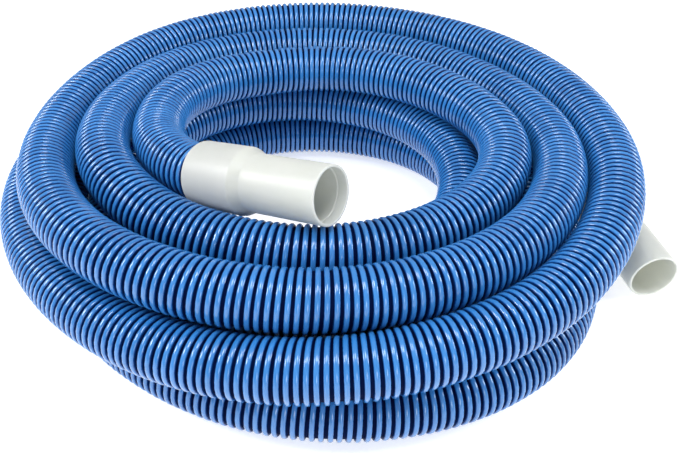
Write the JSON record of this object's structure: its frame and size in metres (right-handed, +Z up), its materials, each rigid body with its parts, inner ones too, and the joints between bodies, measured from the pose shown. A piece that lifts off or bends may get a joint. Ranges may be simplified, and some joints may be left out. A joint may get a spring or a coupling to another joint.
{
  "type": "vacuum hose",
  "caption": "Spiral-ribbed flexible hose lying in a loose coil, with a cuff on each end that pushes onto a pool vacuum head and a suction port; one cuff swivels.",
  "frame": {"origin": "centre of the coil's bounding box in plan, at the floor it lies on", "axes": "+Z up from the floor, +X across the coil towards the side where the fixed cuff lies, -Y towards the viewer who sees the swivel cuff's mouth"},
  "size_m": [0.572, 0.5531, 0.1636],
  "materials": {
    "hose_blue": "semi-gloss blue ribs over a dark wall",
    "swivel_cuff_white": "satin off-white",
    "fixed_cuff_white": "satin off-white",
    "sleeve_grey": "plain moulded grey",
    "seal_black": "matte black"
  },
  "bodies": {
    "hose": {"hose": "hose_blue", "threaded_sleeve": "sleeve_grey", "seal_ring": "seal_black", "fixed_cuff": "fixed_cuff_white"},
    "swivel": {"swivel_cuff": "swivel_cuff_white"}
  },
  "joints": [
    {"name": "cuff_swivel", "type": "hinge", "parent": "hose", "child": "swivel", "pos_m": [-0.09588, -0.10386, 0.12056], "axis": [0.8198, -0.5399, 0.191], "continuous": true}
  ]
}
